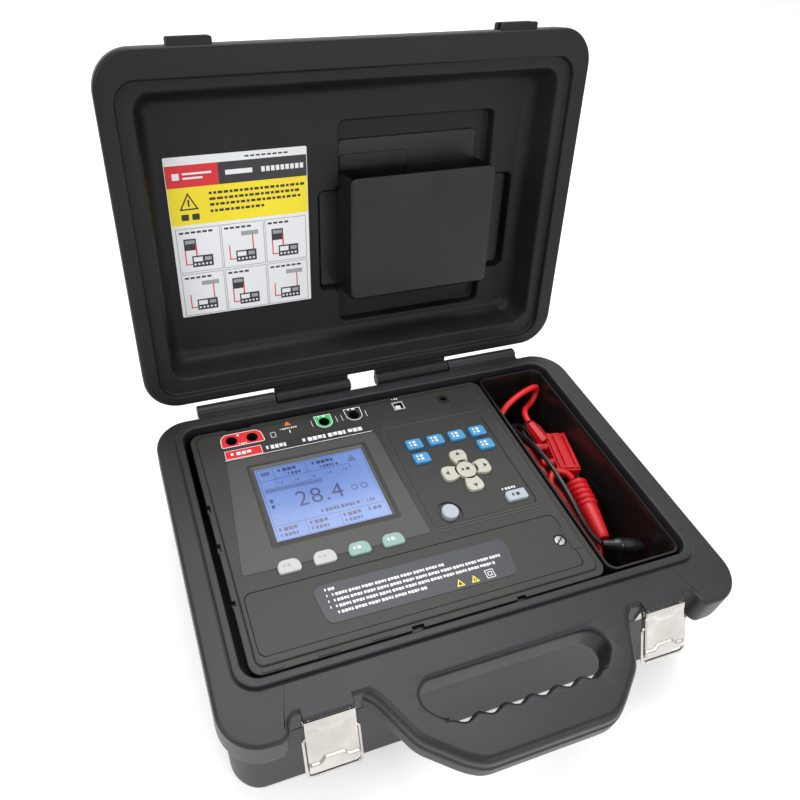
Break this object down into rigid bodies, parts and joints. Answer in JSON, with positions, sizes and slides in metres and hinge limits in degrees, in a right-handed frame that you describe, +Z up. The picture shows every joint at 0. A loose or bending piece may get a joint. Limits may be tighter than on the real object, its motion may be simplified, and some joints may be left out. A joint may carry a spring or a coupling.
{
  "type": "insulation resistance tester",
  "caption": "Insulation resistance tester in a black hinged carrying case with its lid open, keypad panel, lead bin, red and black test leads, document pocket and latches.",
  "frame": {"origin": "middle of the case's bottom face", "axes": "+X is the user's right, +Y is the hinge side away from the handle, +Z is up"},
  "size_m": [0.43, 0.4954, 0.4133],
  "materials": {
    "case_plastic": "textured",
    "panel_plastic": "satin",
    "black_plastic": "satin",
    "nickel": "bright",
    "steel": "satin",
    "red_rubber": "gloss",
    "black_rubber": "gloss",
    "label_paper": "satin",
    "notes_film": "satin",
    "display_clear": "clear",
    "display_glass": "satin",
    "circuit_board": "satin",
    "battery_wrap": "satin",
    "transformer_potting": "satin",
    "key_white": "satin",
    "key_green": "satin",
    "key_blue": "satin",
    "key_cream": "satin",
    "key_silver": "satin",
    "socket_red": "gloss",
    "socket_green": "gloss",
    "socket_black": "gloss"
  },
  "bodies": {
    "case": {"case_base": "case_plastic", "hinge_pin_left": "steel", "hinge_pin_right": "steel", "latch_pin_left": "steel", "latch_pin_right": "steel", "cover_screw": "steel", "usb_socket": "steel", "latch_bracket_left": "nickel", "latch_bracket_right": "nickel", "instrument_housing": "black_plastic", "accessory_bin": "black_plastic", "charger_jack": "black_plastic", "notes_label": "notes_film", "top_panel": "panel_plastic", "socket_strip": "panel_plastic", "battery_cover": "panel_plastic", "display_window": "display_clear", "display_module": "display_glass", "circuit_board": "circuit_board", "battery_pack": "battery_wrap", "high_voltage_transformer": "transformer_potting", "line_socket_left": "socket_red", "line_socket_right": "socket_red", "guard_socket": "socket_green", "earth_socket": "socket_black", "red_lead_cable": "red_rubber", "red_lead_coil": "red_rubber", "red_lead_tail": "red_rubber", "red_lead_plug": "red_rubber", "red_lead_boot": "red_rubber", "red_lead_clip": "red_rubber", "black_lead_cable": "black_rubber", "black_lead_coil": "black_rubber", "black_lead_end": "black_rubber", "black_lead_plug": "black_rubber", "black_lead_clip": "black_rubber"},
    "lid": {"case_lid": "case_plastic", "document_pocket": "black_plastic", "instruction_label": "label_paper"},
    "lever_left": {"latch_lever_left": "nickel"},
    "bail_left": {"latch_bail_left": "nickel"},
    "lever_right": {"latch_lever_right": "nickel"},
    "bail_right": {"latch_bail_right": "nickel"},
    "function_key_1_body": {"function_key_1": "key_white"},
    "function_key_2_body": {"function_key_2": "key_white"},
    "function_key_3_body": {"function_key_3": "key_green"},
    "function_key_4_body": {"function_key_4": "key_green"},
    "blue_key_1_body": {"blue_key_1": "key_blue"},
    "blue_key_2_body": {"blue_key_2": "key_blue"},
    "blue_key_3_body": {"blue_key_3": "key_blue"},
    "blue_key_4_body": {"blue_key_4": "key_blue"},
    "blue_key_5_body": {"blue_key_5": "key_blue"},
    "blue_key_6_body": {"blue_key_6": "key_blue"},
    "test_key_body": {"test_key": "key_silver"},
    "power_key_body": {"power_key": "key_silver"},
    "enter_key_body": {"enter_key": "key_cream"},
    "up_key_body": {"up_key": "key_cream"},
    "left_key_body": {"left_key": "key_cream"},
    "down_key_body": {"down_key": "key_cream"},
    "right_key_body": {"right_key": "key_cream"}
  },
  "joints": [
    {"name": "lid_hinge", "type": "hinge", "parent": "case", "child": "lid", "pos_m": [0, 0.1605, 0.1058], "axis": [1, 0, 0], "range_deg": [0, 104.13]},
    {"name": "lever_left", "type": "hinge", "parent": "case", "child": "lever_left", "pos_m": [-0.14, -0.1415, 0.1013], "axis": [1, 0, 0], "range_deg": [-59, 31]},
    {"name": "bail_left", "type": "hinge", "parent": "lever_left", "child": "bail_left", "pos_m": [-0.14, -0.14888, 0.08999], "axis": [-1, 0, 0], "range_deg": [0, 153]},
    {"name": "lever_right", "type": "hinge", "parent": "case", "child": "lever_right", "pos_m": [0.14, -0.1415, 0.1013], "axis": [1, 0, 0], "range_deg": [-59, 31]},
    {"name": "bail_right", "type": "hinge", "parent": "lever_right", "child": "bail_right", "pos_m": [0.14, -0.14888, 0.08999], "axis": [-1, 0, 0], "range_deg": [0, 153]},
    {"name": "function_key_1_press", "type": "slide", "parent": "case", "child": "function_key_1_body", "axis": [0, 0, -1], "range_m": [0, 0.0015], "stiffness_N_per_m": 400},
    {"name": "function_key_2_press", "type": "slide", "parent": "case", "child": "function_key_2_body", "axis": [0, 0, -1], "range_m": [0, 0.0015], "stiffness_N_per_m": 400},
    {"name": "function_key_3_press", "type": "slide", "parent": "case", "child": "function_key_3_body", "axis": [0, 0, -1], "range_m": [0, 0.0015], "stiffness_N_per_m": 400},
    {"name": "function_key_4_press", "type": "slide", "parent": "case", "child": "function_key_4_body", "axis": [0, 0, -1], "range_m": [0, 0.0015], "stiffness_N_per_m": 400},
    {"name": "blue_key_1_press", "type": "slide", "parent": "case", "child": "blue_key_1_body", "axis": [0, 0, -1], "range_m": [0, 0.0015], "stiffness_N_per_m": 400},
    {"name": "blue_key_2_press", "type": "slide", "parent": "case", "child": "blue_key_2_body", "axis": [0, 0, -1], "range_m": [0, 0.0015], "stiffness_N_per_m": 400},
    {"name": "blue_key_3_press", "type": "slide", "parent": "case", "child": "blue_key_3_body", "axis": [0, 0, -1], "range_m": [0, 0.0015], "stiffness_N_per_m": 400},
    {"name": "blue_key_4_press", "type": "slide", "parent": "case", "child": "blue_key_4_body", "axis": [0, 0, -1], "range_m": [0, 0.0015], "stiffness_N_per_m": 400},
    {"name": "blue_key_5_press", "type": "slide", "parent": "case", "child": "blue_key_5_body", "axis": [0, 0, -1], "range_m": [0, 0.0015], "stiffness_N_per_m": 400},
    {"name": "blue_key_6_press", "type": "slide", "parent": "case", "child": "blue_key_6_body", "axis": [0, 0, -1], "range_m": [0, 0.0015], "stiffness_N_per_m": 400},
    {"name": "test_key_press", "type": "slide", "parent": "case", "child": "test_key_body", "axis": [0, 0, -1], "range_m": [0, 0.0015], "stiffness_N_per_m": 400},
    {"name": "power_key_press", "type": "slide", "parent": "case", "child": "power_key_body", "axis": [0, 0, -1], "range_m": [0, 0.0015], "stiffness_N_per_m": 400},
    {"name": "enter_key_press", "type": "slide", "parent": "case", "child": "enter_key_body", "axis": [0, 0, -1], "range_m": [0, 0.0015], "stiffness_N_per_m": 400},
    {"name": "up_key_press", "type": "slide", "parent": "case", "child": "up_key_body", "axis": [0, 0, -1], "range_m": [0, 0.0015], "stiffness_N_per_m": 400},
    {"name": "left_key_press", "type": "slide", "parent": "case", "child": "left_key_body", "axis": [0, 0, -1], "range_m": [0, 0.0015], "stiffness_N_per_m": 400},
    {"name": "down_key_press", "type": "slide", "parent": "case", "child": "down_key_body", "axis": [0, 0, -1], "range_m": [0, 0.0015], "stiffness_N_per_m": 400},
    {"name": "right_key_press", "type": "slide", "parent": "case", "child": "right_key_body", "axis": [0, 0, -1], "range_m": [0, 0.0015], "stiffness_N_per_m": 400}
  ]
}
